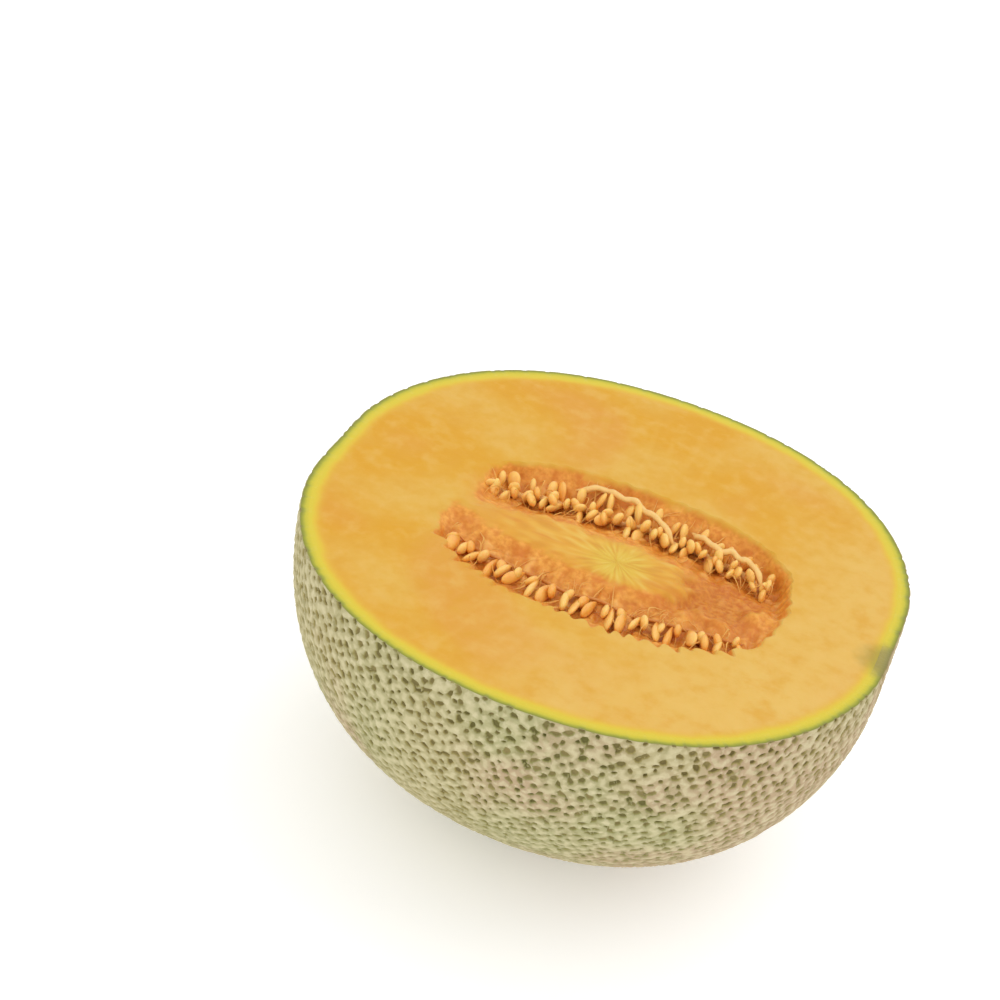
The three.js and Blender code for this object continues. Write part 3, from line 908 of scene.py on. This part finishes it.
threads = thread_runs()
thread_draw = np.random.default_rng(THREAD_SEED + 1)
thread_taper = THREAD_TIP + (1 - THREAD_TIP) * np.sin(np.linspace(0, math.pi, THREAD_POINTS))
thread_radius = THREAD_RADIUS * thread_draw.uniform(*THREAD_SIZES, (len(threads), 1)) * thread_taper
thread_tone = thread_draw.uniform(*THREAD_TONES, (len(threads), 1))
thread_mesh = run_mesh("fibres", threads, thread_radius, thread_tone)
fibres = grown("pulp_fibres", thread_mesh, tube_tree("fibres", thread_finish()), {"Thickness": 1.0})
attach(fibres, "root")
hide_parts("pulp")


# Seeds
# Flat cream drops, wet and glossy, in ranks along a pale strand in each trough. Each has its point rooted in
# the strand, which feeds the whole row; two loose branches of the far strand lie over its seeds.
SEED_LENGTH = 0.009
SEED_WIDTH = 0.0038
SEED_THICKNESS = 0.0021
SEED_SEGMENTS = 14
SEED_RINGS = 12
END_SEED_SHRINK = 0.3
SEED_SPLAY = 0.3
SEED_HEADROOM = 0.001
SEED_STRAY = {"pitch": 0.2, "roll": 0.7, "length": 0.15, "girth": 0.15, "blush": 0.3}
STRAY_STEPS = {
    "yaw": 0.618,
    "pitch": 0.7549,
    "roll": 0.5698,
    "length": 0.3247,
    "girth": 0.2361,
    "blush": 0.4142,
}
SEED_GLOW = (0.004, 0.002, 0.0008)
STRAND_RADIUS = 0.0011
STRAND_POINTS = 90
STRAND_OVERRUN = 1.02
STRAND_SWAY = 0.0005
STRAND_RIPPLE = 0.0003
BRANCH_DEPTH = 0.0014
BRANCH_END_DROP = 0.0025
FAR_RANKS = (
    {"seeds": 19, "outward": 1, "length_share": 0.75, "rise": 0.6},
    {"seeds": 18, "outward": -1, "length_share": 1.0, "rise": 0.3},
    {"seeds": 17, "outward": -1, "length_share": 0.8, "rise": 0.65},
    {"seeds": 16, "outward": -1, "length_share": 0.65, "rise": 1.1},
)
NEAR_RANKS = (
    {"seeds": NEAR_SEEDS, "outward": 1, "length_share": 1.15, "rise": 0.2},
    {"seeds": 17, "outward": 1, "length_share": 0.7, "rise": 0.5},
)
FAR_TROUGH.update(
    ranks=FAR_RANKS,
    blush=0.35,
    yaw_stray=0.42,
    strand_place=0.68,
    strand_sink=0.92,
    strand_tone=0.85,
    strand_thickness=0.8,
    branches=(
        {"from": (-0.42, 0.80), "to": (0.25, 0.55), "hump": 0.16, "sway": 0.0},
        {"from": (0.30, 0.80), "to": (0.80, 0.42), "hump": 0.0, "sway": -0.06},
    ),
)
NEAR_TROUGH.update(
    ranks=NEAR_RANKS,
    blush=0.55,
    yaw_stray=0.24,
    strand_place=0.58,
    strand_sink=0.85,
    strand_tone=0.1,
    strand_thickness=0.45,
    branches=(),
)


def stray(n, what):
    """A repeatable value from -1 to 1 for the nth seed, which differs for each thing that strays."""
    turns_made = (n + 1) * STRAY_STEPS[what]
    return 2 * (turns_made - math.floor(turns_made)) - 1


def strand_point(along, trough):
    """Where a trough's strand runs, from -1 at the blossom end to 1 at the stem end."""
    u = np.asarray(along) * SEED_ROW_REACH
    v = trough["side"] * trough["strand_place"] * bow(u)
    height = cut_height - trough["strand_sink"] * pulp_depth(u, v)[0]
    return np.concatenate([in_cavity(u, v), height[..., None]], axis=-1)


def branch_run(along, branch):
    """A branch of the far strand, which has come loose and lies over the seeds just under the cut face."""
    share = (along + 1) / 2
    u = branch["from"][0] + (branch["to"][0] - branch["from"][0]) * share
    v = branch["from"][1] + (branch["to"][1] - branch["from"][1]) * share
    v = v + branch["hump"] * np.sin(math.pi * share) + branch["sway"] * np.sin(2 * math.pi * share)
    height = cut_height - BRANCH_DEPTH - BRANCH_END_DROP * np.abs(along) ** 6
    return np.concatenate([in_cavity(u, v), height[..., None]], axis=-1)


def strand_mesh(trough):
    """The runs of a strand and its branches, which snake a little and swell and thin along their length."""
    along = np.linspace(-STRAND_OVERRUN, STRAND_OVERRUN, STRAND_POINTS)
    branches = [branch_run(along, branch) for branch in trough["branches"]]
    runs = np.stack([strand_point(along, trough), *branches])
    runs[..., 1] += STRAND_SWAY * np.sin(11 * along + 1.0)
    runs[..., 2] += STRAND_RIPPLE * np.sin(17 * along + 0.5)
    taper = np.minimum(1, 5 * (1.05 - np.abs(along)))
    radius = STRAND_RADIUS * taper * (0.9 + 0.1 * np.sin(29 * along) * np.sin(13 * along))
    return run_mesh("strand", runs, radius, trough["strand_tone"])


def seed_shape():
    """One seed of unit length, width and thickness, with its point at the origin, lying along +X."""
    body = bmesh.new()
    bmesh.ops.create_uvsphere(body, u_segments=SEED_SEGMENTS, v_segments=SEED_RINGS, radius=1)
    for vert in body.verts:
        along, across, up = vert.co.z, vert.co.x, vert.co.y
        fullness = 0.85 + 0.3 * along - 0.15 * along ** 2
        vert.co = ((along + 1) / 2, across * fullness / 2, up * fullness / 2)
    bmesh.ops.recalc_face_normals(body, faces=body.faces[:])
    mesh = bpy.data.meshes.new("seed")
    body.to_mesh(mesh)
    body.free()
    mesh.polygons.foreach_set("use_smooth", [True] * len(mesh.polygons))
    keep_value(mesh, "from_point", [vert.co.x for vert in mesh.vertices])
    return mesh


def row_points(trough):
    """A point for each seed of a row, with its turn, its size and its blush kept on it."""
    spots, spins, sizes, blushes = [], [], [], []
    for rank in trough["ranks"]:
        for i in range(rank["seeds"]):
            n = i + rank["seeds"]
            along = 2 * i / (rank["seeds"] - 1) - 1
            facing = trough["side"] * rank["outward"]
            yaw = facing * (math.pi / 2 - SEED_SPLAY * along) + trough["yaw_stray"] * stray(n, "yaw")
            roll = math.pi / 2 + SEED_STRAY["roll"] * stray(n, "roll")
            length = SEED_LENGTH * rank["length_share"] * (1 - END_SEED_SHRINK * along * along)
            length *= 1 + SEED_STRAY["length"] * stray(n, "length")
            girth = 1 + SEED_STRAY["girth"] * stray(n, "girth")
            root = strand_point(SEEDED_SHARE * along, trough)
            steepest = math.asin(np.clip((cut_height - SEED_HEADROOM - root[2]) / length, 0, 1))
            rise = min(rank["rise"] + SEED_STRAY["pitch"] * stray(n, "pitch"), steepest)
            spots.append(root)
            spins.append((roll, -rise, yaw))
            sizes.append((length, SEED_WIDTH * girth, SEED_THICKNESS * girth))
            blushes.append(trough["blush"] + SEED_STRAY["blush"] * stray(n, "blush"))
    mesh = bpy.data.meshes.new("seed_points")
    mesh.from_pydata(spots, [], [])
    mesh.attributes.new("spin", "FLOAT_VECTOR", "POINT").data.foreach_set("vector", np.ravel(spins))
    mesh.attributes.new("size", "FLOAT_VECTOR", "POINT").data.foreach_set("vector", np.ravel(sizes))
    keep_value(mesh, "blush", blushes)
    return mesh


def seed_tree(seed, material):
    """Sets a seed on each point, turned and sized by the values kept there."""
    tree, given, end = new_geometry_tree("seed_row", ("Plumpness",))
    vector = {"data_type": "FLOAT_VECTOR"}
    spin = Wire.node(tree, "GeometryNodeInputNamedAttribute", vector, {"Name": "spin"})
    size = Wire.node(tree, "GeometryNodeInputNamedAttribute", vector, {"Name": "size"})
    sockets = {0: size, "Scale": given["Plumpness"]}
    plump = Wire.node(tree, "ShaderNodeVectorMath", {"operation": "SCALE"}, sockets)
    shape = Wire.node(tree, "GeometryNodeObjectInfo", None, {"Object": seed}, output="Geometry")
    sockets = {"Points": given["Geometry"], "Instance": shape, "Rotation": spin, "Scale": plump}
    seeds = Wire.node(tree, "GeometryNodeInstanceOnPoints", None, sockets)
    whole = Wire.node(tree, "GeometryNodeRealizeInstances", None, {"Geometry": seeds})
    done = Wire.node(tree, "GeometryNodeSetMaterial", None, {"Geometry": whole, "Material": material})
    tree.links.new(done.socket, end.inputs[0])
    return tree


def seed_finish():
    material, tree, shader = new_material("wet_seeds")
    place = object_place(tree)
    blush = surface_value(tree, "blush")
    from_point = surface_value(tree, "from_point")
    stain = blush + 0.5 * (1 - from_point.rise(0.1, 0.7)) + 0.7 * (speckle(tree, place, 0.002) - 0.5)
    connect(mixed(stain.rise(0.1, 1.1), paint("FACC70"), paint("EEA440")), shader, "Base Color")
    connect(0.28 + 0.15 * speckle(tree, place, 0.001), shader, "Roughness")
    connect(bumped(tree, speckle(tree, place, 0.0007), 0.0001, 0.4), shader, "Normal")
    make_moist(shader, 0.4, SEED_GLOW, 0.3)
    shader.inputs["Coat Weight"].default_value = 0.2
    shader.inputs["Coat Roughness"].default_value = 0.15
    return material


def strand_finish():
    material, tree, shader = new_material("wet_strand")
    place = object_place(tree)
    tone = surface_value(tree, "tone") + 0.6 * (speckle(tree, place, 0.003) - 0.5)
    connect(mixed(tone.rise(0.0, 1.0), paint("D4842E"), paint("F6CC7C")), shader, "Base Color")
    connect(0.35 + 0.15 * speckle(tree, place, 0.001), shader, "Roughness")
    connect(bumped(tree, speckle(tree, place, 0.0008), 0.0002, 0.5), shader, "Normal")
    make_moist(shader, 0.15, THREAD_GLOW, 0.5)
    return material


seed_model = bpy.data.objects.new("seed_model", seed_shape())
seeds_grow = seed_tree(seed_model, seed_finish())
strand_grow = tube_tree("strand", strand_finish())
for side, trough in (("far", FAR_TROUGH), ("near", NEAR_TROUGH)):
    row = grown(f"seeds_{side}_wet", row_points(trough), seeds_grow, {"Plumpness": 1.0})
    thickness = {"Thickness": trough["strand_thickness"]}
    strand = grown(f"strand_{side}_wet", strand_mesh(trough), strand_grow, thickness)
    for piece in (row, strand):
        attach(piece, "root")
        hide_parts(f"seeds_{side}_row")
bpy.data.objects.remove(seed_model)


# Floor and light
# A plain white floor, a broad soft light from behind on the right, a weaker one from the front, and an even
# white surround.
FLOOR_SIDE = 12.0
FLOOR_GLOW = 0.25
SURROUND_STRENGTH = 0.94

floor = bpy.data.objects.new("floor", bpy.data.meshes.new("floor"))
half_side = FLOOR_SIDE / 2
corners = [(x * half_side, y * half_side, 0) for x, y in ((-1, -1), (1, -1), (1, 1), (-1, 1))]
floor.data.from_pydata(corners, [], [(0, 1, 2, 3)])
bpy.context.collection.objects.link(floor)
floor_material, _, floor_shader = new_material("white_floor")
floor_shader.inputs["Base Color"].default_value = (0.97, 0.97, 0.97, 1)
floor_shader.inputs["Roughness"].default_value = 0.9
floor_shader.inputs["Emission Color"].default_value = (1, 1, 1, 1)
floor_shader.inputs["Emission Strength"].default_value = FLOOR_GLOW
floor.data.materials.append(floor_material)


def soft_light(name, comes_from, spread, strength):
    """A light as from a broad diffuser far away, so that it is even over the whole floor."""
    light = bpy.data.objects.new(name, bpy.data.lights.new(name, "SUN"))
    light.data.angle = math.radians(spread)
    light.data.energy = strength
    light.rotation_euler = (-Vector(comes_from)).to_track_quat("-Z", "Y").to_euler()
    bpy.context.collection.objects.link(light)


soft_light("key", comes_from=(0.5, 0.5, 1.0), spread=60, strength=0.5)
soft_light("fill", comes_from=(-0.15, -1.0, 0.6), spread=70, strength=0.22)
world = bpy.data.worlds.new("studio")
bpy.context.scene.world = world
world.use_nodes = True
world.node_tree.nodes["Background"].inputs["Color"].default_value = (1, 1, 1, 1)
world.node_tree.nodes["Background"].inputs["Strength"].default_value = SURROUND_STRENGTH
